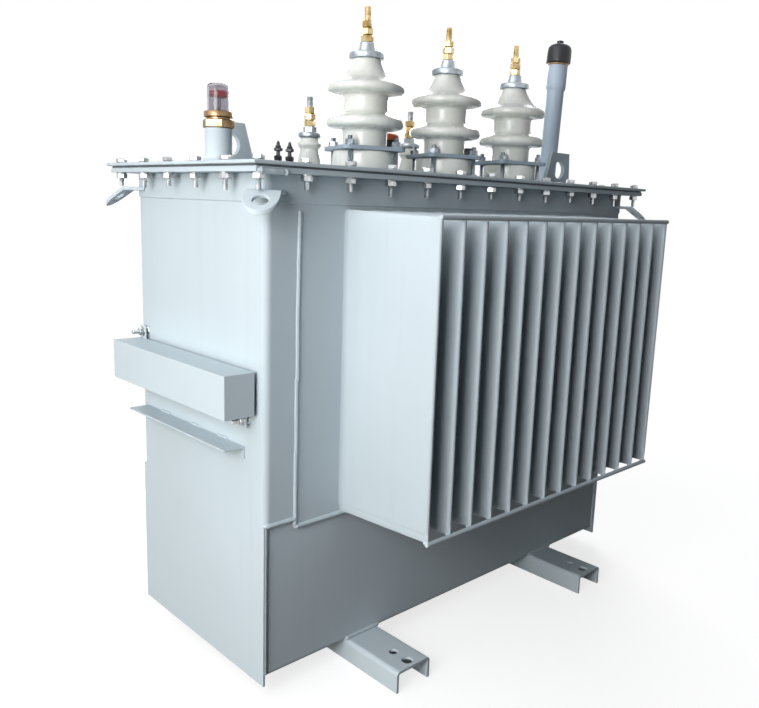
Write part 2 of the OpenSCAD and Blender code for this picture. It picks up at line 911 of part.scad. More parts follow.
module filler_cover() {
    color([0.08, 0.08, 0.09])
        leaning()
            translate([0, 0, filler_cap_base]) {
                rotate_extrude() {
                    square([filler_cap / 2, filler_cap_height - filler_cap_radius]);
                    square([filler_cap / 2 - filler_cap_radius, filler_cap_height]);
                    translate([filler_cap / 2 - filler_cap_radius, filler_cap_height - filler_cap_radius])
                        intersection() {
                            circle(r = filler_cap_radius);
                            square(filler_cap_radius);
                        }
                }
                translate([0, 0, filler_cap_height])
                    cylinder(d = filler_knob, h = filler_knob_height);
            }
}

module lifting_lug_left() {
    paint() lifting_lug(lug_left_row);
}

module lifting_lug_right() {
    paint() mirror([1, 0, 0]) lifting_lug(-lug_right_row);
}

module corner_lugs() {
    paint()
        for (x = [0, 1], y = [0, 1])
            mirror([x, 0, 0])
                mirror([0, y, 0])
                    corner_lug();
}

module document_box() {
    paint() {
        translate([-box_face - box_depth, box_shift - box_length / 2, box_level])
            difference() {
                cube([box_depth, box_length, box_height]);
                translate([box_sheet, box_sheet, box_sheet])
                    cube([box_depth, box_length - 2 * box_sheet, box_height - 2 * box_sheet]);
            }
        translate([-box_sheet, 0, 0]) {
            ear(upper_ear_y, box_top - box_sheet, box_top + ear_height, upper_stud_level);
            ear(lower_ear_y, box_level - ear_height, box_level + box_sheet, lower_stud_level);
        }
    }
}

module document_box_studs() {
    color([0.7, 0.71, 0.73])
        for (place = [[upper_ear_y, upper_stud_level], [lower_ear_y, lower_stud_level]])
            translate([-half_length - box_stud_length, place[0], place[1]])
                rotate([0, 90, 0])
                    cylinder(d = box_stud, h = box_stud_length);
}

module document_shelf() {
    paint()
        translate([-half_length, shelf_shift - shelf_length / 2, shelf_level - shelf_thickness]) {
            translate([-shelf_depth, 0, 0])
                cube([shelf_depth, shelf_length, shelf_thickness]);
            translate([-shelf_thickness, 0, shelf_thickness - shelf_leg])
                cube([shelf_thickness, shelf_length, shelf_leg]);
        }
}

module skid_left() {
    paint() translate([-skid_gauge / 2, 0, 0]) skid();
}

module skid_right() {
    paint() translate([skid_gauge / 2, 0, 0]) skid();
}

module tap_changer_body() {
    color([0.15, 0.15, 0.16])
        translate([-tap_offset, 0, cover_top])
            cylinder(d = tap_body, h = tap_body_height);
}

module tap_changer_cap() {
    color([0.85, 0.35, 0.12])
        translate([-tap_offset, 0, cover_top + tap_body_height])
            cylinder(d = tap_cap, h = tap_cap_height);
}

module thermometer_pocket() {
    color([0.24, 0.25, 0.27])
        translate([pocket_offset, 0, cover_top]) {
            cylinder(d = pocket_tube, h = pocket_tube_height);
            translate([0, 0, pocket_tube_height])
                cylinder(d = pocket_cap, h = pocket_cap_height, $fn = 6);
        }
}

module cover_studs() {
    color([0.24, 0.25, 0.27])
        for (side = [-1, 1])
            translate([side * vent_pitch / 2 + vent_offset - half_length, vent_row, cover_top]) {
                cylinder(d = vent_stud, h = vent_stud_height);
                cylinder(d = vent_nut, h = vent_body_height, $fn = 6);
                translate([0, 0, vent_nut_rise])
                    cylinder(d = vent_nut, h = vent_nut_height, $fn = 6);
            }
}

left_end_wall();
right_end_wall();
front_lower_wall();
rear_lower_wall();
front_panel();
rear_panel();
front_fins();
rear_fins();
fin_rods();
tank_floor();
tank_rim();
tank_flange();
cover_gasket();
cover();
hv_porcelain(1);  // hv_porcelain_1
hv_porcelain(2);  // hv_porcelain_2
hv_porcelain(3);  // hv_porcelain_3
hv_clamp(1);  // hv_clamp_1
hv_clamp(2);  // hv_clamp_2
hv_clamp(3);  // hv_clamp_3
hv_terminal(1);  // hv_terminal_1
hv_terminal(2);  // hv_terminal_2
hv_terminal(3);  // hv_terminal_3
hv_caps();
hv_gaskets();
lv_porcelain(1);  // lv_porcelain_1
lv_porcelain(2);  // lv_porcelain_2
lv_porcelain(3);  // lv_porcelain_3
lv_porcelain(4);  // lv_porcelain_4
lv_caps();
lv_terminals();
oil_gauge_neck();
oil_gauge_fitting();
oil_gauge_window();
oil_gauge_float();
filler_tube();
filler_collar();
filler_cover();
lifting_lug_left();
lifting_lug_right();
corner_lugs();
document_box();
document_box_studs();
document_shelf();
skid_left();
skid_right();
tap_changer_body();
tap_changer_cap();
thermometer_pocket();
cover_studs();
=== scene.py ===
import math
import random
import bpy
import bmesh
from mathutils import Matrix, Vector


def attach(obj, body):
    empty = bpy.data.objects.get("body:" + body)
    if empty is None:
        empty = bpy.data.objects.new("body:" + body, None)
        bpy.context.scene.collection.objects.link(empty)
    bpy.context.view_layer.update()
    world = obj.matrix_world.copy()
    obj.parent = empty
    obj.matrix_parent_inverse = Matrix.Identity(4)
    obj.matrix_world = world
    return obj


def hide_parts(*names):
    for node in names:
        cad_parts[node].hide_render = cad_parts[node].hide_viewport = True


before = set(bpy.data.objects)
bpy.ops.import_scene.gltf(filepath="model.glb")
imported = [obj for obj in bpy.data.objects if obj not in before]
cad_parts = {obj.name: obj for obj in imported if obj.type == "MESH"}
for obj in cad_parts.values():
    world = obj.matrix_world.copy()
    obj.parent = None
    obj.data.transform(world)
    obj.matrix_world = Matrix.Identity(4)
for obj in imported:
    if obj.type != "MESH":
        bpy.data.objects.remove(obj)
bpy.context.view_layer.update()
print("frame loaded with", len(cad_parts), "nodes")

mm = 0.001
chance = random.Random(27)


# camera, at the place the photograph was taken from
view = {
    "place": (-1.17204749, -1.19376275, 0.8250385),
    "turn": (79.36960213, -2.04548033, -43.6461204),
    "sensor": 36, "lens": 37.1471, "nearest": 0.01,
    "shift": (-0.0223247, -0.0036325),
}

cameraData = bpy.data.cameras.new("camera")
cameraData.sensor_width = view["sensor"]
cameraData.sensor_fit = "HORIZONTAL"
cameraData.lens = view["lens"]
cameraData.shift_x, cameraData.shift_y = view["shift"]
cameraData.clip_start = view["nearest"]
camera = bpy.data.objects.new("camera", cameraData)
camera.location = view["place"]
camera.rotation_euler = [math.radians(a) for a in view["turn"]]
bpy.context.scene.collection.objects.link(camera)
bpy.context.scene.camera = camera
bpy.context.scene.view_settings.view_transform = "Standard"
print("camera set")


# finishes
def toneOf(r, g, b):  # screen colour to scene colour
    return tuple(((c / 255 + 0.055) / 1.055) ** 2.4 if c > 10 else c / 3294.6 for c in (r, g, b)) + (1,)


def startFinish(name):
    finish = bpy.data.materials.new(name)
    finish.use_nodes = True
    tree = finish.node_tree
    coords = tree.nodes.new("ShaderNodeTexCoord").outputs["Object"]
    return finish, tree, tree.nodes["Principled BSDF"], coords


def addNoise(tree, coords, scale, detail=2, stretch=None):
    if stretch:
        mapping = tree.nodes.new("ShaderNodeMapping")
        mapping.inputs["Scale"].default_value = stretch
        tree.links.new(coords, mapping.inputs["Vector"])
        coords = mapping.outputs["Vector"]
    node = tree.nodes.new("ShaderNodeTexNoise")
    node.inputs["Scale"].default_value = scale
    node.inputs["Detail"].default_value = detail
    tree.links.new(coords, node.inputs["Vector"])
    return node.outputs["Fac"]


def addRamp(tree, value, stops):
    node = tree.nodes.new("ShaderNodeValToRGB")
    marks = node.color_ramp.elements
    while len(marks) < len(stops):
        marks.new(0.5)
    for mark, (place, tone) in zip(marks, stops):
        mark.position = place
        mark.color = tone
    tree.links.new(value, node.inputs["Fac"])
    return node.outputs["Color"]


def addRange(tree, value, low, high, toLow, toHigh):
    node = tree.nodes.new("ShaderNodeMapRange")
    for key, number in (("From Min", low), ("From Max", high), ("To Min", toLow), ("To Max", toHigh)):
        node.inputs[key].default_value = number
    tree.links.new(value, node.inputs["Value"])
    return node.outputs["Result"]


def mixTone(tree, factor, first, second):
    node = tree.nodes.new("ShaderNodeMix")
    node.data_type = "RGBA"
    tree.links.new(factor, node.inputs[0])
    for socket, tone in ((node.inputs[6], first), (node.inputs[7], second)):
        if isinstance(tone, tuple):
            socket.default_value = tone
        else:
            tree.links.new(tone, socket)
    return node.outputs[2]


def addBumps(tree, shader, heights):
    normal = None
    for height, strength, distance in heights:
        node = tree.nodes.new("ShaderNodeBump")
        node.inputs["Strength"].default_value = strength
        node.inputs["Distance"].default_value = distance
        tree.links.new(height, node.inputs["Height"])
        if normal:
            tree.links.new(normal, node.inputs["Normal"])
        normal = node.outputs["Normal"]
    tree.links.new(normal, shader.inputs["Normal"])


def setCoat(tree, shader, tone, noise, rough):  # colour, and a roughness that follows the noise
    tree.links.new(tone, shader.inputs["Base Color"])
    tree.links.new(addRange(tree, noise, 0.3, 0.7, *rough), shader.inputs["Roughness"])


enamels = {
    "tankPaint": {
        "tone": (195, 207, 213), "shade": (189, 201, 207), "dirt": (168, 176, 177), "chip": (116, 118, 116),
        "rough": (0.42, 0.56), "gloss": 0.12,
    },
    # the tank's paint made darker for the clamp plates: the darkness is painted shade, not a different paint
    "clampPaintPaintedShade": {
        "tone": (158, 173, 184), "shade": (146, 161, 172), "dirt": (126, 134, 138), "chip": (96, 98, 98),
        "rough": (0.36, 0.52), "gloss": 0.12,
    },
    # the tank's paint made lighter and bluer for the filler pipe: painted skylight, with extra gloss
    "fillerPaintPaintedSkylight": {
        "tone": (203, 220, 236), "shade": (195, 212, 229), "dirt": (170, 182, 192), "chip": (116, 118, 120),
        "rough": (0.34, 0.48), "gloss": 0.45,
    },
}
enamelGrain = {
    "cloud": 3.2, "streak": (34, 34, 1.6), "speck": 260, "wave": 9, "peel": 420,
    "streakRange": (0.56, 0.8, 0, 0.12), "speckRange": (0.79, 0.83, 0, 0.3),
    "waveBump": (0.12, 0.004), "peelBump": (0.1, 0.0006),
}


def enamelFinish(name):  # sprayed enamel with soft clouds, rain marks, specks and orange peel
    values, grain = enamels[name], enamelGrain
    finish, tree, shader, coords = startFinish(name)
    cloud = addNoise(tree, coords, grain["cloud"], 4)
    tone = addRamp(tree, cloud, [(0.32, toneOf(*values["shade"])), (0.68, toneOf(*values["tone"]))])
    streaks = addNoise(tree, coords, 1, 4, grain["streak"])
    tone = mixTone(tree, addRange(tree, streaks, *grain["streakRange"]), tone, toneOf(*values["dirt"]))
    specks = addNoise(tree, coords, grain["speck"], 1)
    tone = mixTone(tree, addRange(tree, specks, *grain["speckRange"]), tone, toneOf(*values["chip"]))
    setCoat(tree, shader, tone, cloud, values["rough"])
    shader.inputs["Specular IOR Level"].default_value = values["gloss"]
    wave = addNoise(tree, coords, grain["wave"], 1)
    peel = addNoise(tree, coords, grain["peel"], 1)
    addBumps(tree, shader, [(wave, *grain["waveBump"]), (peel, *grain["peelBump"])])
    return finish


glaze = {
    "tone": (228, 231, 225), "shade": (220, 223, 215), "rough": (0.2, 0.32), "runs": (40, 40, 14),
    "coat": 0.2, "coatRough": 0.18, "pits": 60, "pitBump": (0.05, 0.001),
}


def glazeFinish():  # fired porcelain, nearly even, with faint runs in its glaze
    finish, tree, shader, coords = startFinish("porcelainGlaze")
    runs = addNoise(tree, coords, 1, 3, glaze["runs"])
    tone = addRamp(tree, runs, [(0.3, toneOf(*glaze["shade"])), (0.65, toneOf(*glaze["tone"]))])
    setCoat(tree, shader, tone, runs, glaze["rough"])
    shader.inputs["Coat Weight"].default_value = glaze["coat"]
    shader.inputs["Coat Roughness"].default_value = glaze["coatRough"]
    addBumps(tree, shader, [(addNoise(tree, coords, glaze["pits"], 1), *glaze["pitBump"])])
    return finish


metals = {
    "boltZinc": {"tone": (208, 211, 213), "stain": (164, 168, 170), "grain": 260, "rough": (0.4, 0.24)},
    "clampZinc": {"tone": (178, 186, 193), "stain": (122, 129, 136), "grain": 240, "rough": (0.46, 0.28)},
    "capAluminium": {"tone": (182, 190, 196), "stain": (142, 151, 158), "grain": 150, "rough": (0.46, 0.3)},
    "terminalBrass": {"tone": (226, 207, 162), "stain": (168, 136, 84), "grain": 170, "rough": (0.4, 0.2)},
    "fittingBrass": {"tone": (158, 134, 102), "stain": (108, 85, 60), "grain": 150, "rough": (0.44, 0.24)},
    "tinnedStud": {"tone": (196, 200, 202), "stain": (140, 143, 143), "grain": 220, "rough": (0.46, 0.28)},
    "darkSteel": {"tone": (84, 84, 90), "stain": (42, 42, 46), "grain": 200, "rough": (0.6, 0.38)},
}
metalGrain = {"cloudShare": 0.35, "drawn": (1, 1, 6), "bump": (0.12, 0.0004)}


def metalFinish(name):  # bare or plated metal with tarnish in clouds and a fine tool grain
    values = metals[name]
    finish, tree, shader, coords = startFinish(name)
    cloud = addNoise(tree, coords, values["grain"] * metalGrain["cloudShare"], 4)
    tone = addRamp(tree, cloud, [(0.36, toneOf(*values["stain"])), (0.6, toneOf(*values["tone"]))])
    setCoat(tree, shader, tone, cloud, values["rough"])
    shader.inputs["Metallic"].default_value = 1
    grain = addNoise(tree, coords, values["grain"], 2, metalGrain["drawn"])
    addBumps(tree, shader, [(grain, *metalGrain["bump"])])
    return finish


rubbers = {
    "gasketRubber": {"tone": (92, 98, 103), "bloom": (116, 122, 127), "rough": (0.6, 0.8)},
    "capRubber": {"tone": (14, 18, 24), "bloom": (26, 32, 40), "rough": (0.3, 0.46)},
    "tapBody": {"tone": (44, 45, 48), "bloom": (66, 68, 70), "rough": (0.4, 0.6)},
    "tapCap": {"tone": (226, 108, 52), "bloom": (196, 86, 42), "rough": (0.34, 0.5)},
    "floatRed": {"tone": (238, 20, 42), "bloom": (206, 16, 34), "rough": (0.3, 0.44)},
}
rubberGrain = {"cloud": 45, "fine": 800, "bump": (0.12, 0.0004)}


def rubberFinish(name):  # moulded rubber or plastic with a bloom in clouds and a fine moulded grain
    values = rubbers[name]
    finish, tree, shader, coords = startFinish(name)
    cloud = addNoise(tree, coords, rubberGrain["cloud"], 4)
    tone = addRamp(tree, cloud, [(0.42, toneOf(*values["tone"])), (0.78, toneOf(*values["bloom"]))])
    setCoat(tree, shader, tone, cloud, values["rough"])
    addBumps(tree, shader, [(addNoise(tree, coords, rubberGrain["fine"], 1), *rubberGrain["bump"])])
    return finish


window = {
    "clear": (0.5, 0.48, 0.53, 1), "scuffed": (0.62, 0.59, 0.63, 1), "scuff": 120,
    "roughRange": (0.45, 0.75, 0.02, 0.07), "index": 1.47,
}


def windowFinish():  # clear moulded window, faintly scuffed
    finish, tree, shader, coords = startFinish("gaugeGlass")
    scuff = addNoise(tree, coords, window["scuff"], 3)
    tone = addRamp(tree, scuff, [(0.4, window["clear"]), (0.75, window["scuffed"])])
    tree.links.new(tone, shader.inputs["Base Color"])
    tree.links.new(addRange(tree, scuff, *window["roughRange"]), shader.inputs["Roughness"])
    shader.inputs["Transmission Weight"].default_value = 1
    shader.inputs["IOR"].default_value = window["index"]
    return finish


tankPaint, clampPaintPaintedShade, fillerPaintPaintedSkylight = map(enamelFinish, enamels)
porcelainGlaze = glazeFinish()
boltZinc, clampZinc, capAluminium, terminalBrass, fittingBrass, tinnedStud, darkSteel = map(metalFinish, metals)
gasketRubber, capRubber, tapBody, tapCap, floatRed = map(rubberFinish, rubbers)
gaugeGlass = windowFinish()
print("finishes made")


# shared modelling steps
tiny = 0.001 * mm
copying = {"merge": 0.01, "flatAngle": 0.5}
softening = {"sharpAngle": 38, "edgeAngle": 35, "rings": 2, "weight": 100}
threads = {"pitch": 1.75, "depth": 0.24, "crest": 0.2, "root": 0.7, "end": 0.4}
beads = {"ripple": 0.12, "step": 6, "tip": 0.4, "shoulder": 0.2, "endSize": 0.6, "uneven": 0.6, "wave": 0.5}


def cadCopy(node):  # the node's own shape, merged, with its flat faces joined up
    bm = bmesh.new()
    bm.from_mesh(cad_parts[node].data)
    bmesh.ops.remove_doubles(bm, verts=bm.verts, dist=copying["merge"] * mm)
    flat = math.radians(copying["flatAngle"])
    bmesh.ops.dissolve_limit(bm, angle_limit=flat, verts=bm.verts, edges=bm.edges)
    return bm


def setPiece(bm, name, finish, nodes=(), edge=0, smooth=0):
    mesh = bpy.data.meshes.new(name)
    bm.to_mesh(mesh)
    bm.free()
    mesh.materials.append(finish)
    mesh.shade_smooth()
    if not edge and not smooth:
        mesh.set_sharp_from_angle(angle=math.radians(softening["sharpAngle"]))
    piece = bpy.data.objects.new(name, mesh)
    bpy.context.scene.collection.objects.link(piece)
    if edge:
        soften = piece.modifiers.new("softEdges", "BEVEL")
        soften.width = edge * mm
        soften.segments = softening["rings"]
        soften.limit_method = "ANGLE"
        soften.angle_limit = math.radians(softening["edgeAngle"])
        soften.harden_normals = True
        flatten = piece.modifiers.new("flatFaces", "WEIGHTED_NORMAL")
        flatten.mode = "FACE_AREA"
        flatten.weight = softening["weight"]
    if smooth:
        rounding = piece.modifiers.new("rounding", "SUBSURF")
        rounding.levels = rounding.render_levels = smooth
    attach(piece, "root")
    if nodes:
        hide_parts(*nodes)


def closeUp(bm):  # turns every face outward
    bmesh.ops.recalc_face_normals(bm, faces=bm.faces)
    return bm


def join(bm, part):  # adds a finished part to a piece
    mesh = bpy.data.meshes.new("part")
    part.to_mesh(mesh)
    part.free()
    bm.from_mesh(mesh)
    bpy.data.meshes.remove(mesh)


def lathe(bm, profile, place, steps=32):  # profile of (radius, height) in millimetres, turned about the local Z
    part = bmesh.new()
    line = [part.verts.new((r * mm, 0, h * mm)) for r, h in profile]
    links = [part.edges.new(pair) for pair in zip(line, line[1:])]
    bmesh.ops.spin(
        part, geom=line + links, cent=(0, 0, 0), axis=(0, 0, 1), angle=math.tau, steps=steps, use_merge=True
    )
    bmesh.ops.remove_doubles(part, verts=part.verts, dist=tiny)
    bmesh.ops.transform(part, matrix=place, verts=part.verts)
    join(bm, part)


def at(x, y, z, turn=0):  # a place in millimetres, turned about the vertical in degrees
    return Matrix.Translation((x * mm, y * mm, z * mm)) @ Matrix.Rotation(math.radians(turn), 4, "Z")


def shifted(rows, r, h=0):  # part of a profile, counted from a radius and a height
    return [(r + dr, h + dh) for dr, dh in rows]


def scaled(rows, inner, outer, height):  # part of a profile, given as shares of its reach and height
    return [(inner + s * (outer - inner), share * height) for s, share in rows]


def washerProfile(diameter, height, edge=0.4):
    r = diameter / 2
    return [(0, 0), (r - edge, 0), (r, edge), (r, height - edge), (r - edge, height), (0, height)]


def threadProfile(diameter, length, pitch=threads["pitch"]):
    r, depth = diameter / 2, threads["depth"] * pitch
    turns = max(2, round(length / pitch))
    rows = [(0, 0)]
    for i in range(turns):
        rows += [(r, (i + threads["crest"]) * length / turns), (r - depth, (i + threads["root"]) * length / turns)]
    return rows + [(r - depth - threads["end"], length), (0, length)]


def addHex(bm, across, height, place, chamfer=0.8):  # nut or bolt head, measured across its corners
    r, drop = across / 2, chamfer * 0.7
    low = [(0, 0), (r - chamfer, 0), (r, drop)]
    lathe(bm, low + [(r, height - drop), (r - chamfer, height), (0, height)], place, 6)


def anyTurn():  # a nut stops at any angle
    return chance.uniform(0, 60)


def bead(bm, start, end, size, ripple=beads["ripple"], step=beads["step"]):  # weld bead between two points
    start, end = Vector(start), Vector(end)
    length = (end - start).length
    count = max(4, 2 * round(length / step))
    tip, shoulder, endSize = size * beads["tip"], size * beads["shoulder"], size * beads["endSize"]
    profile = [(0, -tip), (endSize, -shoulder)]
    for i in range(1, count):
        uneven = chance.uniform(-ripple, ripple) * beads["uneven"]
        grow = 1 + uneven + (ripple if i % 2 else -ripple) * beads["wave"]
        profile.append((size * grow, length * i / count))
    profile += [(endSize, length + shoulder), (0, length + tip)]
    turn = (end - start).to_track_quat("Z", "Y").to_matrix().to_4x4()
    lathe(bm, profile, Matrix.Translation(start * mm) @ turn, 8)


# tank: folded sheets keep their solids' shapes, with softened edges
coverTop = 880.5  # millimetres, as every size below
sheets = {
    "tankEndLeft": ("left_end_wall", 1.0), "tankEndRight": ("right_end_wall", 1.0),
    "lowerWallFront": ("front_lower_wall", 1.0), "lowerWallRear": ("rear_lower_wall", 1.0),
    "finPanelFront": ("front_panel", 0.8), "finPanelRear": ("rear_panel", 0.8),
    "tankRim": ("tank_rim", 1.5), "tankFlange": ("tank_flange", 1.2), "tankCover": ("cover", 1.4),
    "skidLeft": ("skid_left", 1.1), "skidRight": ("skid_right", 1.1),
    "liftingLugLeft": ("lifting_lug_left", 1.4), "liftingLugRight": ("lifting_lug_right", 1.4),
    "cornerLugs": ("corner_lugs", 1.2),
    "documentBox": ("document_box", 0.8), "documentShelf": ("document_shelf", 0.7),
}
for name, (node, edge) in sheets.items():
    setPiece(cadCopy(node), name, tankPaint, [node], edge=edge)
# clamp plates take the darker copy of the tank paint, which carries painted shade
for i in (1, 2, 3):
    setPiece(cadCopy(f"hv_clamp_{i}"), f"hvClamp{i}", clampPaintPaintedShade, [f"hv_clamp_{i}"], edge=0.8)
for node, finish in (("tank_floor", tankPaint), ("cover_gasket", gasketRubber), ("hv_gaskets", gasketRubber)):
    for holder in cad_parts[node].material_slots:
        holder.material = finish
print("tank sheets set")


# corrugated fins: thin folds with pinched seams, a rounded tip and a curved root
fins = {
    "count": 14, "pitch": 51, "root": 206, "depth": 205, "thick": 9,
    "rootLow": 295, "rootHigh": 814, "tipLow": 306, "tipHigh": 809,
    "lowBands": [(0, 1.4), (0.8, 2.0), (10, 2.0), (13, 2.8), (18, 4.5)],
    "highBands": [(0, 2.2), (0.8, 2.8), (3.2, 3.2), (5.4, 4.1), (8, 4.5)],
    "flare": [(0, 8.5), (1.6, 5.0), (4, 2.4), (8, 0.8), (13, 0.0)],
    "tipRound": [(0.0, 0.3), (1.0, 0.6), (2.4, 0.86), (4.5, 1.0)],
}


def along(table, value):  # straight line through a table of pairs
    for (x0, y0), (x1, y1) in zip(table, table[1:]):
        if value <= x1:
            return y0 + (y1 - y0) * max(0, value - x0) / (x1 - x0)
    return table[-1][1]


def buildFins(name, node, side):
    v = fins
    bm = bmesh.new()
    height = v["rootHigh"] - v["rootLow"]
    block = bmesh.ops.create_cube(bm, size=1)["verts"]
    size = Matrix.Diagonal((v["thick"] * mm, v["depth"] * mm, height * mm, 1))
    middle = Matrix.Translation((0, -(v["root"] + v["depth"] / 2) * mm, (v["rootLow"] + height / 2) * mm))
    bmesh.ops.transform(bm, matrix=middle @ size, verts=block)
    cuts = [((0, 0, v["rootLow"] + d), (0, 0, 1)) for d, half in v["lowBands"][1:]]
    cuts += [((0, 0, v["rootHigh"] - d), (0, 0, 1)) for d, half in v["highBands"][1:]]
    cuts += [((0, -v["root"] - r, 0), (0, 1, 0)) for r, grow in v["flare"][1:]]
    cuts += [((0, -v["root"] - v["depth"] + r, 0), (0, 1, 0)) for r, share in v["tipRound"][1:]]
    for point, normal in cuts:
        everything = bm.verts[:] + bm.edges[:] + bm.faces[:]
        bmesh.ops.bisect_plane(bm, geom=everything, plane_co=Vector(point) * mm, plane_no=normal, dist=tiny)
    for vert in bm.verts:
        out = -vert.co.y / mm - v["root"]
        up = vert.co.z / mm
        share = out / v["depth"]
        if up > (v["rootLow"] + v["rootHigh"]) / 2:
            half = along(v["highBands"], v["rootHigh"] - up)
            up += (v["tipHigh"] - v["rootHigh"]) * share
        else:
            half = along(v["lowBands"], up - v["rootLow"])
            up += (v["tipLow"] - v["rootLow"]) * share
        half = half * along(v["tipRound"], v["depth"] - out) + along(v["flare"], out)
        vert.co = (math.copysign(half, vert.co.x) * mm, vert.co.y * -side, up * mm)
    one = bm.verts[:] + bm.edges[:] + bm.faces[:]
    first = v["pitch"] * (v["count"] - 1) / 2
    bmesh.ops.translate(bm, vec=(-first * mm, 0, 0), verts=bm.verts)
    for i in range(1, v["count"]):
        more = bmesh.ops.duplicate(bm, geom=one)["geom"]
        bmesh.ops.translate(
            bm, vec=(v["pitch"] * i * mm, 0, 0), verts=[g for g in more if isinstance(g, bmesh.types.BMVert)]
        )
    setPiece(closeUp(bm), name, tankPaint, [node])


buildFins("finsFront", "front_fins", -1)
buildFins("finsRear", "rear_fins", 1)

rods = {
    "size": 8, "edge": 1, "left": -335, "right": 336, "reach": 410, "low": 303.5, "high": 809,
    "tack": 4.2, "tackIn": 4.5, "tackUp": 1.5, "tackWide": (0.9, 1.3), "tackFlat": 0.8,
}


def buildRods():
    v = rods
    bm = bmesh.new()
    r, e, left, right = v["size"] / 2, v["edge"], v["left"], v["right"]
    profile = [(0, left), (r - e, left), (r, left + e), (r, right - e), (r - e, right), (0, right)]
    for y in (-v["reach"], v["reach"]):
        for level, up in ((v["low"], v["tackUp"]), (v["high"], -v["tackUp"])):
            lathe(bm, profile, at(0, y, level) @ Matrix.Rotation(math.pi / 2, 4, "Y"), 16)
            for i in range(fins["count"]):  # a tack of weld holds the rod at each fin
                x = (i - (fins["count"] - 1) / 2) * fins["pitch"]
                place = at(x, y - math.copysign(v["tackIn"], y), level + up)
                wide = Matrix.Diagonal((chance.uniform(*v["tackWide"]), v["tackFlat"], v["tackFlat"], 1))
                bmesh.ops.create_icosphere(bm, subdivisions=2, radius=v["tack"] * mm, matrix=place @ wide)
    setPiece(closeUp(bm), "finRods", tankPaint, ["fin_rods"])


buildRods()
print("fins and rods set")


# weld beads on the tank, all under paint; a run is its kind of bead, its start and its end
welds = {
    "sizes": {"wall": 3.7, "fillet": 4.6, "lug": 4.0, "thin": 2.2, "shelf": 2.6, "patch": 4.4},
    "seam": [  # upright seam, in runs that wander a little
        ("wall", (436.6, 205.6, 296), (437.2, 205.6, 424)), ("wall", (436, 205.6, 418), (437, 205.6, 546)),
        ("wall", (435.2, 205.6, 540), (436.2, 205.6, 652)), ("wall", (436.2, 205.6, 646), (435, 205.6, 726)),
        ("wall", (435.6, 205.6, 720), (433.8, 205.6, 809)),
    ],
    "corner": [  # the last joins the skid to the wall's foot
        ("fillet", (494, 205, 308), (436, 205, 308)), ("fillet", (493.5, 202, 46), (493.5, 202, 306)),
        ("thin", (486, 206, 822.5), (440, 206, 822.5)), ("fillet", (235, 200, 43), (315, 200, 43)),
    ],
    "end": ("thin", (498, -192, 822.5), (498, 192, 822.5)),
    "side": [("fillet", (-436, 205, 294), (436, 205, 294)), ("thin", (-436, 206, 821.5), (436, 206, 821.5))],
    "lugRows": {-1: 42, 1: -84}, "lugHalf": 4.6, "lugFrom": 356, "lugTo": 448, "lugLevel": 881.1,
    "shelfRows": (112, 4, -82), "shelfHalf": 15, "shelfX": -498.6, "shelfLevel": 431, "shelfRipple": 0.2,
    "patch": ("patch", (-530, -235.4, 866), (-478, -235.2, 865)), "patchRipple": 0.22, "patchStep": 7,
}


def buildWelds():
    v = welds
    bm = bmesh.new()

    def addRun(kind, start, end, x=1, y=1, **pattern):  # x and y mirror the run
        side = Vector((x, y, 1))
        bead(bm, side * Vector(start), side * Vector(end), v["sizes"][kind], **pattern)

    for x in (-1, 1):
        for y in (-1, 1):
            for run in v["seam"] + v["corner"]:
                addRun(*run, x, y)
        addRun(*v["end"], x)
        for y in (v["lugRows"][x] - v["lugHalf"], v["lugRows"][x] + v["lugHalf"]):  # lifting lug's foot
            addRun("lug", (v["lugFrom"], y, v["lugLevel"]), (v["lugTo"], y, v["lugLevel"]), x)
    for y in (-1, 1):
        for run in v["side"]:
            addRun(*run, 1, y)
    for y in v["shelfRows"]:  # short runs that hold the shelf
        start = (v["shelfX"], y - v["shelfHalf"], v["shelfLevel"])
        end = (v["shelfX"], y + v["shelfHalf"], v["shelfLevel"])
        addRun("shelf", start, end, ripple=v["shelfRipple"])
    addRun(*v["patch"], ripple=v["patchRipple"], step=v["patchStep"])  # joint in the flange
    setPiece(closeUp(bm), "tankWelds", tankPaint)


buildWelds()
print("welds set")


# cover bolts: head above the cover, nut and bare thread below the flange
coverBolts = {
    "x": 521, "y": 222, "along": 13, "across": 6, "top": coverTop, "under": 864,
    "head": 19, "headHigh": 7, "nutHigh": 8.6, "chamfer": 1.2, "washer": 18, "washerHigh": 1.4,
    "thread": 8.4, "pitch": 1.5, "bare": 15, "bareSpread": 2.5,
}


def buildBolts():
    v = coverBolts
    bm = bmesh.new()
    places = []
    for i in range(v["along"]):
        x = -v["x"] + 2 * v["x"] * i / (v["along"] - 1)
        places += [(x, -v["y"]), (x, v["y"])]
    for i in range(1, v["across"] - 1):
        y = -v["y"] + 2 * v["y"] * i / (v["across"] - 1)
        places += [(-v["x"], y), (v["x"], y)]
    washer = washerProfile(v["washer"], v["washerHigh"])
    washerLow = v["under"] - v["washerHigh"]
    nutLow = washerLow - v["nutHigh"]
    for x, y in places:
        lathe(bm, washer, at(x, y, v["top"]), 20)
        addHex(bm, v["head"], v["headHigh"], at(x, y, v["top"] + v["washerHigh"], anyTurn()), v["chamfer"])
        lathe(bm, washer, at(x, y, washerLow), 20)
        addHex(bm, v["head"], v["nutHigh"], at(x, y, nutLow, anyTurn()), v["chamfer"])
        bare = v["bare"] + chance.uniform(-v["bareSpread"], v["bareSpread"])
        lathe(bm, threadProfile(v["thread"], bare, v["pitch"]), at(x, y, nutLow - bare), 12)
    setPiece(closeUp(bm), "coverBolts", boltZinc)


buildBolts()
print("cover bolts set")


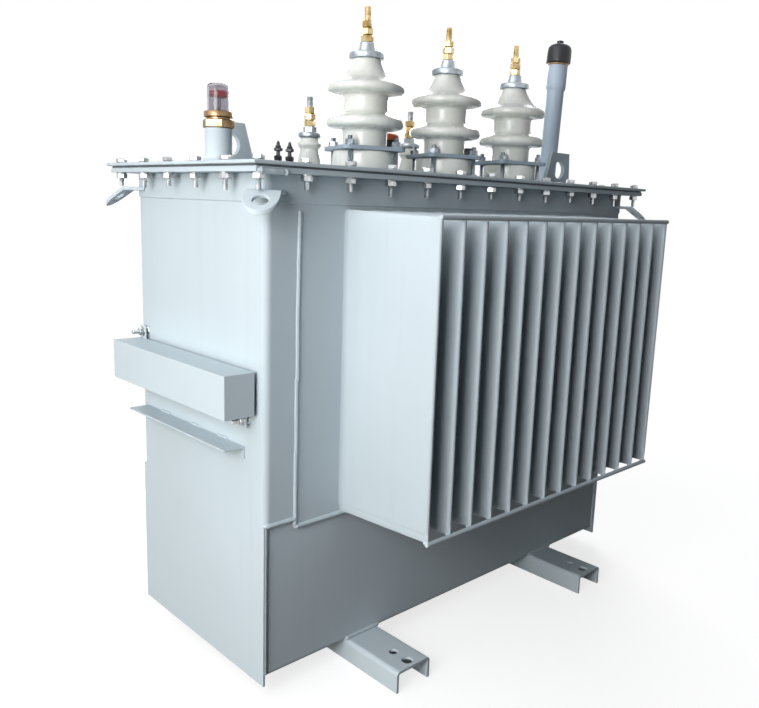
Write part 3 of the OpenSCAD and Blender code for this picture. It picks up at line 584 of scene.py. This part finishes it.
# high voltage bushings
hv = {
    "xs": (-210, 0, 210), "y": -96, "foot": 884.5, "high": 190.5,
    "neck": 40, "shed": 70, "crown": 26, "crownEdge": 3, "footR": 57, "footHigh": 32,
    "footLow": [(-4, 0), (-1, 0.4), (0, 3)], "footTop": [(0, -4), (-1.2, -0.8), (-4, 0)],
    "neckLow": [(2, 0), (0.3, 0.8), (0, 3)],
    "outline": [
        (0, 0.349), (0.05, 0.36), (0.2, 0.366), (0.5, 0.37), (0.75, 0.375), (0.9, 0.384), (0.97, 0.4),
        (1, 0.42), (0.985, 0.438), (0.93, 0.456), (0.8, 0.468), (0.6, 0.481), (0.406, 0.492),
        (0.188, 0.506), (0.047, 0.521), (0, 0.54), (0, 0.655), (0.05, 0.668), (0.2, 0.676), (0.55, 0.683),
        (0.8, 0.69), (0.92, 0.7), (0.98, 0.714), (1, 0.732), (0.985, 0.746), (0.93, 0.76), (0.78, 0.775),
        (0.6, 0.789), (0.42, 0.803), (0.19, 0.826), (0.04, 0.849),
    ],
    "shoulder": [(0.78, 0.876), (0.5, 0.91), (0.22, 0.945), (0.05, 0.975), (0, 1)],
    "cap": 31, "capHigh": 11, "capLow": [(-2, 0), (-0.6, 0.6), (0, 2)], "capTop": [(0, -3), (-0.8, -1), (-2.4, 0)],
    "collar": 15.5, "collarHigh": 17, "collarLow": [(1.2, 0), (0, 0.8)],
    "collarEnd": 12.4, "collarTop": [(0.6, -1), (-0.4, 0)],
    "nuts": ((22, 8), (22, 34), (19.5, 20)), "nutStack": 37, "nutShare": 0.96, "nutChamfer": 1.6, "turnEach": 17,
    "stud": 12, "bare": 23,
}
hvClamps = {
    "cover": coverTop, "top": 923.5, "plate": 7.4, "reach": 62, "turns": (25, 115, 205, 295),
    "stud": 8, "lowNut": 16, "lowNutHigh": 7, "washer": 19, "washerHigh": 1.6, "nut": 17, "nutHigh": 8.4,
    "end": 9, "endFrom": 2, "endLong": 14.4, "endPitch": 1.5,
}


def addClampStuds(x, studs, nuts):  # from the cover through the plate's corners
    v = hvClamps
    top, low = v["top"], v["cover"]
    for turn in v["turns"]:
        px = x + v["reach"] * math.cos(math.radians(turn))
        py = hv["y"] + v["reach"] * math.sin(math.radians(turn))
        lathe(studs, threadProfile(v["stud"], top - v["plate"] - low), at(px, py, low), 12)
        addHex(studs, v["lowNut"], v["lowNutHigh"], at(px, py, low, anyTurn()))
        lathe(nuts, washerProfile(v["washer"], v["washerHigh"]), at(px, py, top), 20)
        addHex(nuts, v["nut"], v["nutHigh"], at(px, py, top + v["washerHigh"], anyTurn()))
        lathe(nuts, threadProfile(v["end"], v["endLong"], v["endPitch"]), at(px, py, top + v["endFrom"]), 12)


def buildHighVoltage():
    v = hv
    high, footHigh, capHigh = v["high"], v["footHigh"], v["capHigh"]
    body = [(0, 0)] + shifted(v["footLow"], v["footR"]) + shifted(v["footTop"], v["footR"], footHigh)
    body += shifted(v["neckLow"], v["neck"], footHigh) + scaled(v["outline"], v["neck"], v["shed"], high)
    body += scaled(v["shoulder"], v["crown"], v["neck"], high) + [(v["crown"] - v["crownEdge"], high), (0, high)]
    collarTop = capHigh + v["collarHigh"]
    cap = [(0, 0)] + shifted(v["capLow"], v["cap"]) + shifted(v["capTop"], v["cap"], capHigh)
    cap += shifted(v["collarLow"], v["collar"], capHigh) + shifted(v["collarTop"], v["collarEnd"], collarTop)
    cap += [(0, collarTop)]
    capBase = v["foot"] + high
    nutBase = capBase + collarTop
    each = v["nutStack"] / len(v["nuts"])
    caps, clampNuts, clampStuds = bmesh.new(), bmesh.new(), bmesh.new()
    for i, x in enumerate(v["xs"], 1):
        bm = bmesh.new()
        lathe(bm, body, at(x, v["y"], v["foot"]), 40)
        setPiece(closeUp(bm), f"hvPorcelain{i}", porcelainGlaze, [f"hv_porcelain_{i}"], smooth=1)
        lathe(caps, cap, at(x, v["y"], capBase))
        bm = bmesh.new()
        for n, (wide, turn) in enumerate(v["nuts"]):
            place = at(x, v["y"], nutBase + n * each, turn + v["turnEach"] * i)
            addHex(bm, wide, each * v["nutShare"], place, v["nutChamfer"])
        lathe(bm, threadProfile(v["stud"], v["nutStack"] + v["bare"]), at(x, v["y"], nutBase), 20)
        setPiece(closeUp(bm), f"hvTerminal{i}", terminalBrass, [f"hv_terminal_{i}"])
        addClampStuds(x, clampStuds, clampNuts)
    setPiece(closeUp(caps), "hvCaps", capAluminium, ["hv_caps"])
    setPiece(closeUp(clampNuts), "hvClampNuts", clampZinc)
    setPiece(closeUp(clampStuds), "hvClampStuds", clampZinc)


buildHighVoltage()
print("high voltage bushings set")


# low voltage bushings
lv = {
    "xs": (-205.5, -68.5, 68.5, 205.5), "y": 72, "foot": coverTop, "high": 66,
    "neck": 17.5, "neckEdge": 1, "shed": 23.5, "footR": 25, "footEdge": 2,
    "skirt": [(1, 0.03), (1, 0.11), (0.8, 0.3), (0.35, 0.5), (0.05, 0.62), (0, 0.68)],
    "shedLine": [(0.35, 0.72), (0.92, 0.765), (1, 0.80), (0.92, 0.84), (0.45, 0.88), (0.08, 0.92), (0, 0.98)],
    "cap": 22, "capHigh": 10, "capLow": [(-2.4, 0), (-0.4, 1.6), (0, 3)],
    "capTop": [(0, -3), (-0.6, -1.4), (-2.6, 0)], "capInner": 14,
    "collar": 26, "collarHigh": 11, "collarChamfer": 1.2, "collarTurn": 12,
    "nut": 22, "nutTurns": (8, 40, 22), "nutStack": 37, "nutShare": 0.96, "nutChamfer": 1.4, "turnEach": 23,
    "stud": 12, "bare": 19,
}


def buildLowVoltage():
    v = lv
    high, capHigh = v["high"], v["capHigh"]
    body = [(0, 0), (v["footR"] - v["footEdge"], 0)] + scaled(v["skirt"], v["neck"], v["footR"], high)
    body += scaled(v["shedLine"], v["neck"], v["shed"], high) + [(v["neck"] - v["neckEdge"], high), (0, high)]
    cap = [(0, 0)] + shifted(v["capLow"], v["cap"]) + shifted(v["capTop"], v["cap"], capHigh)
    cap += [(v["capInner"], capHigh), (0, capHigh)]
    capBase = v["foot"] + high
    nutBase = capBase + capHigh + v["collarHigh"]
    each = v["nutStack"] / len(v["nutTurns"])
    caps, nuts, studs = bmesh.new(), bmesh.new(), bmesh.new()
    for i, x in enumerate(v["xs"], 1):
        bm = bmesh.new()
        lathe(bm, body, at(x, v["y"], v["foot"]))
        setPiece(closeUp(bm), f"lvPorcelain{i}", porcelainGlaze, [f"lv_porcelain_{i}"], smooth=1)
        lathe(caps, cap, at(x, v["y"], capBase), 28)
        collarPlace = at(x, v["y"], capBase + capHigh, v["collarTurn"] * i)
        addHex(caps, v["collar"], v["collarHigh"], collarPlace, v["collarChamfer"])
        for n, turn in enumerate(v["nutTurns"]):
            place = at(x, v["y"], nutBase + n * each, turn + v["turnEach"] * i)
            addHex(nuts, v["nut"], each * v["nutShare"], place, v["nutChamfer"])
        lathe(studs, threadProfile(v["stud"], v["nutStack"] + v["bare"]), at(x, v["y"], nutBase), 20)
    setPiece(closeUp(caps), "lvCaps", capAluminium, ["lv_caps"])
    setPiece(closeUp(nuts), "lvNuts", terminalBrass, ["lv_terminals"])
    setPiece(closeUp(studs), "lvStuds", tinnedStud, ["lv_terminals"])


buildLowVoltage()
print("low voltage bushings set")


# oil gauge on its neck
gauge = {
    "x": -499, "y": -78, "foot": coverTop, "neck": 21, "neckTop": 932, "hexTop": 945, "ringTop": 957, "top": 999,
    "neckLow": [(5, 0), (4.4, 1.6), (2, 3.6), (0.5, 6), (0, 9)],
    "neckLip": [(0, -6), (0.5, -5), (0.5, -1), (-0.6, 0)],
    "hex": 51, "hexChamfer": 1.8, "hexTurn": 10,
    "ringLow": [(0, 0), (19, 0), (19, 2.4), (21.4, 3), (22.5, 4.4)],
    "ringLip": [(22.5, -2), (21.6, 0), (18, 0), (17.4, -1), (0, -1)],
    "dome": [(0, 0), (10, 0), (14, -0.6), (16.1, -2.2), (17, -5.5)], "rim": [(17, 0), (15, 0)],
    "inside": [(15, -6), (14, -3.8), (11.4, -2.4), (0, -2)],
    "float": [(0, 22), (12.8, 22), (14, 23), (14, 30), (12.8, 31), (5, 31), (4.2, 32), (0, 32)],
    "stem": [(0, -1), (14, -1), (14, 1.4), (13, 2.2), (4.2, 2.2), (4, 3), (4, 22), (0, 22)],
}


def buildGauge():
    v = gauge
    x, y = v["x"], v["y"]
    bm = bmesh.new()
    up = v["neckTop"] - v["foot"]
    neck = [(0, 0)] + shifted(v["neckLow"], v["neck"]) + shifted(v["neckLip"], v["neck"], up) + [(0, up)]
    lathe(bm, neck, at(x, y, v["foot"]), 40)
    setPiece(closeUp(bm), "gaugeNeck", tankPaint, ["oil_gauge_neck"])
    bm = bmesh.new()
    addHex(bm, v["hex"], v["hexTop"] - v["neckTop"], at(x, y, v["neckTop"], v["hexTurn"]), v["hexChamfer"])
    ring = v["ringLow"] + shifted(v["ringLip"], 0, v["ringTop"] - v["hexTop"])
    lathe(bm, ring, at(x, y, v["hexTop"]), 40)
    setPiece(closeUp(bm), "gaugeFitting", fittingBrass, ["oil_gauge_fitting"])
    bm = bmesh.new()
    high = v["top"] - v["ringTop"]
    dome = shifted(v["dome"], 0, high) + v["rim"] + shifted(v["inside"], 0, high)
    lathe(bm, dome, at(x, y, v["ringTop"]), 40)
    setPiece(closeUp(bm), "gaugeWindow", gaugeGlass, ["oil_gauge_window"])
    bm = bmesh.new()
    lathe(bm, v["float"], at(x, y, v["ringTop"]), 28)
    setPiece(closeUp(bm), "gaugeFloat", floatRed, ["oil_gauge_float"])
    bm = bmesh.new()
    lathe(bm, v["stem"], at(x, y, v["ringTop"]), 24)
    setPiece(closeUp(bm), "gaugeStem", tinnedStud, ["oil_gauge_float"])


buildGauge()
print("oil gauge set")


# filler pipe, leaning a little away from the middle
filler = {
    "x": 480, "y": 0, "foot": coverTop, "lean": 3.2, "pipe": 21, "pipeLong": 234, "socket": 24, "socketLong": 58,
    "pipeLow": [(5, -1), (5, 1), (3, 3.4), (0.8, 6), (0, 10)], "pipeTop": [(0, -4), (0.4, -2)],
    "socketLow": [(-0.4, 2), (0, 4)], "socketTop": [(0, -1.4), (-1, 0)],
    "ring": 50, "ringHigh": 4.5, "ringEdge": 0.8,
    "cap": [
        (0, 0), (28.4, 0), (29.6, 1), (30, 3), (30, 30), (29, 35.5), (26, 40.5), (21, 44), (14, 46), (9.6, 46.6),
        (8.2, 47.5), (8.4, 49), (9, 50.8), (8.6, 52.8), (6.4, 54.2), (3, 54.5), (0, 54.5),
    ],
}


def buildFiller():
    v = filler
    place = at(v["x"], v["y"], v["foot"]) @ Matrix.Rotation(math.radians(v["lean"]), 4, "Y")
    long = v["pipeLong"]
    end = long + v["socketLong"]
    pipe = [(0, v["pipeLow"][0][1])] + shifted(v["pipeLow"], v["pipe"]) + shifted(v["pipeTop"], v["pipe"], long)
    pipe += shifted(v["socketLow"], v["socket"], long) + shifted(v["socketTop"], v["socket"], end) + [(0, end)]
    bm = bmesh.new()
    lathe(bm, pipe, place, 40)
    # the pipe's paint is lighter and bluer than the tank's, as painted skylight
    setPiece(closeUp(bm), "fillerPipe", fillerPaintPaintedSkylight, ["filler_tube"])
    bm = bmesh.new()
    lathe(bm, washerProfile(v["ring"], v["ringHigh"], v["ringEdge"]), place @ at(0, 0, end), 40)
    setPiece(closeUp(bm), "fillerRing", fittingBrass, ["filler_collar"])
    bm = bmesh.new()
    lathe(bm, v["cap"], place @ at(0, 0, end + v["ringHigh"]), 40)
    setPiece(closeUp(bm), "fillerCap", capRubber, ["filler_cover"], smooth=1)


buildFiller()
print("filler set")


# small fittings on the cover
tap = {
    "x": -80, "y": 0, "foot": coverTop, "capFoot": coverTop + 69,
    "body": [
        (0, 0), (34, 0), (35, 1), (35, 7), (34, 8), (26.6, 8), (26, 9), (26, 51), (24.4, 53), (24.4, 59),
        (26, 61), (26, 68), (25, 69), (0, 69),
    ],
    "cap": [(0, 0), (31.6, 0), (32.6, 1), (32.6, 8.6), (31.2, 11), (27, 12.8), (15, 13.6), (12, 13.2), (0, 13)],
    "ribs": 20, "ribReach": 32.2, "rib": [(0, 0.6), (1.2, 0.6), (1.4, 1.4), (1.4, 8), (0.8, 9.4), (0, 9.6)],
}
pocket = {
    "x": 184, "y": 0, "foot": coverTop, "high": 52, "hex": 30, "hexHigh": 20, "hexChamfer": 1.6, "hexTurn": 15,
    "body": [(0, 0), (14, 0), (13, 2), (11, 4), (10.5, 6), (10.5, 52), (0, 52)],
}
coverStuds = {
    "places": ((-303, 39), (-277, 39)), "foot": coverTop,
    "body": [  # tapered, with a waist and a pointed tip
        (0, 0), (8, 0), (7.6, 14), (5.4, 24), (3.6, 27), (3.4, 33), (5.6, 42), (3.2, 45), (3, 48),
        (1.6, 51.4), (0, 52),
    ],
    "nut": 16, "nuts": ((17, 8, 1.2), (33, 7, 2.4)),
}


def buildTap():
    v = tap
    bm = bmesh.new()
    lathe(bm, v["body"], at(v["x"], v["y"], v["foot"]), 36)
    setPiece(closeUp(bm), "tapBody", tapBody, ["tap_changer_body"])
    bm = bmesh.new()
    lathe(bm, v["cap"], at(v["x"], v["y"], v["capFoot"]), 40)
    for i in range(v["ribs"]):  # finger ribs round the cap
        turn = math.tau * i / v["ribs"]
        x, y = v["x"] + v["ribReach"] * math.cos(turn), v["y"] + v["ribReach"] * math.sin(turn)
        lathe(bm, v["rib"], at(x, y, v["capFoot"]), 8)
    setPiece(closeUp(bm), "tapCap", tapCap, ["tap_changer_cap"])


def buildPocket():
    v = pocket
    bm = bmesh.new()
    lathe(bm, v["body"], at(v["x"], v["y"], v["foot"]), 28)
    addHex(bm, v["hex"], v["hexHigh"], at(v["x"], v["y"], v["foot"] + v["high"], v["hexTurn"]), v["hexChamfer"])
    setPiece(closeUp(bm), "thermometerPocket", darkSteel, ["thermometer_pocket"])


def buildCoverStuds():
    v = coverStuds
    bm = bmesh.new()
    for x, y in v["places"]:
        lathe(bm, v["body"], at(x, y, v["foot"]), 16)
        for level, high, chamfer in v["nuts"]:
            addHex(bm, v["nut"], high, at(x, y, v["foot"] + level, anyTurn()), chamfer)
    setPiece(closeUp(bm), "coverStuds", darkSteel, ["cover_studs"])


buildTap()
buildPocket()
buildCoverStuds()
print("small fittings set")


# document box: studs with washers and nuts, welded to the end sheet
boxStuds = {
    "places": ((181, 574), (-159, 478)), "wall": -498, "stud": 8, "long": 30, "pitch": 1.4,
    "washer": 17, "washerAt": 9, "washerHigh": 1.6, "nut": 15, "nutHigh": 6.5, "nutTurn": 18,
    "weld": [(0, 0), (8.4, 0), (7, 2), (5, 3.4), (0, 4)],
}


def buildBoxStuds():
    v = boxStuds
    bm = bmesh.new()
    nutAt = v["washerAt"] + v["washerHigh"]
    for y, z in v["places"]:
        out = at(v["wall"], y, z) @ Matrix.Rotation(-math.pi / 2, 4, "Y")
        lathe(bm, threadProfile(v["stud"], v["long"], v["pitch"]), out, 16)
        lathe(bm, washerProfile(v["washer"], v["washerHigh"]), out @ at(0, 0, v["washerAt"]), 20)
        addHex(bm, v["nut"], v["nutHigh"], out @ at(0, 0, nutAt, v["nutTurn"]))
        lathe(bm, v["weld"], out, 20)
    setPiece(closeUp(bm), "boxStuds", boltZinc, ["document_box_studs"])


buildBoxStuds()
print("document box studs set")


# floor, light and surroundings
studio = {
    "floorSize": 30, "floorGrey": 0.03, "floorGlow": 0.76, "floorTone": 0.34, "near": 0.9, "far": 1.9,
    "sky": 0.05, "skyEdge": -0.6, "skyTint": (0.7, 0.85, 1, 1),
    "aim": (0, 0, 0.5),
    "lamps": [
        ("highLamp", (-2.6, 0, 3.0), 3.6, 69, (0.98, 0.99, 1)),
        ("lowLamp", (-2.8, -0.25, 0.1), 1.4, 34, (1, 0.99, 0.87)),
        ("nearLamp", (-1.95, -0.88, 1.05), 1.0, 27, (0.98, 0.97, 1)),
        ("backLamp", (2.8, 2.8, 2.2), 3.0, 190, (1, 1, 1)),
    ],
}


def shownRays(tree):  # 1 where the camera, a reflection or the glass looks, 0 for light on its way
    path = tree.nodes.new("ShaderNodeLightPath")
    shown = path.outputs["Is Camera Ray"]
    for name in ("Is Glossy Ray", "Is Transmission Ray"):
        both = tree.nodes.new("ShaderNodeMath")
        both.operation = "MAXIMUM"
        tree.links.new(shown, both.inputs[0])
        tree.links.new(path.outputs[name], both.inputs[1])
        shown = both.outputs[0]
    return shown


def mixShader(tree, factor, first, second):
    node = tree.nodes.new("ShaderNodeMixShader")
    for source, socket in zip((factor, first.outputs[0], second.outputs[0]), node.inputs):
        tree.links.new(source, socket)
    return node


def buildFloor():  # keeps the object's shadow nearby, and fades to white
    bm = bmesh.new()
    bmesh.ops.create_grid(bm, x_segments=8, y_segments=8, size=studio["floorSize"])
    mesh = bpy.data.meshes.new("floor")
    bm.to_mesh(mesh)
    bm.free()
    finish = bpy.data.materials.new("floorPale")
    finish.use_nodes = True
    tree = finish.node_tree
    tree.nodes.clear()
    link, make = tree.links.new, tree.nodes.new
    plain = make("ShaderNodeBsdfDiffuse")
    plain.inputs["Color"].default_value = (studio["floorGrey"],) * 3 + (1,)
    shade = make("ShaderNodeBsdfDiffuse")
    shade.inputs["Color"].default_value = (studio["floorTone"],) * 3 + (1,)
    glow = make("ShaderNodeEmission")
    glow.inputs["Strength"].default_value = studio["floorGlow"]
    pale = make("ShaderNodeAddShader")
    link(shade.outputs[0], pale.inputs[0])
    link(glow.outputs[0], pale.inputs[1])
    reach = make("ShaderNodeVectorMath")
    reach.operation = "LENGTH"
    link(make("ShaderNodeTexCoord").outputs["Object"], reach.inputs[0])
    fade = addRange(tree, reach.outputs["Value"], studio["near"], studio["far"], 0, 1)
    seen = mixShader(tree, fade, pale, make("ShaderNodeEmission"))
    whole = mixShader(tree, shownRays(tree), plain, seen)
    link(whole.outputs[0], make("ShaderNodeOutputMaterial").inputs[0])
    mesh.materials.append(finish)
    floor = bpy.data.objects.new("floor", mesh)
    bpy.context.scene.collection.objects.link(floor)


def buildWorld():  # white to look at, with a faint light from above
    world = bpy.data.worlds.new("studioWorld")
    bpy.context.scene.world = world
    world.use_nodes = True
    tree = world.node_tree
    tree.nodes.clear()
    link, make = tree.links.new, tree.nodes.new
    height = make("ShaderNodeVectorMath")
    height.operation = "DOT_PRODUCT"
    height.inputs[1].default_value = (0, 0, 1)
    link(make("ShaderNodeTexCoord").outputs["Generated"], height.inputs[0])
    sky = make("ShaderNodeBackground")
    sky.inputs["Color"].default_value = studio["skyTint"]
    strength = addRange(tree, height.outputs["Value"], studio["skyEdge"], 1, 0, studio["sky"])
    link(strength, sky.inputs["Strength"])
    white = make("ShaderNodeBackground")
    white.inputs["Color"].default_value = (1, 1, 1, 1)
    whole = mixShader(tree, shownRays(tree), sky, white)
    link(whole.outputs[0], make("ShaderNodeOutputWorld").inputs[0])


def addLamp(name, place, size, power, tone):
    data = bpy.data.lights.new(name, "AREA")
    data.size = size
    data.energy = power
    data.color = tone
    lamp = bpy.data.objects.new(name, data)
    lamp.location = place
    lamp.rotation_euler = (Vector(studio["aim"]) - Vector(place)).to_track_quat("-Z", "Y").to_euler()
    lamp.visible_camera = lamp.visible_transmission = False  # glass shows the plain background
    bpy.context.scene.collection.objects.link(lamp)


buildFloor()
buildWorld()
for lamp in studio["lamps"]:
    addLamp(*lamp)
print("studio set")
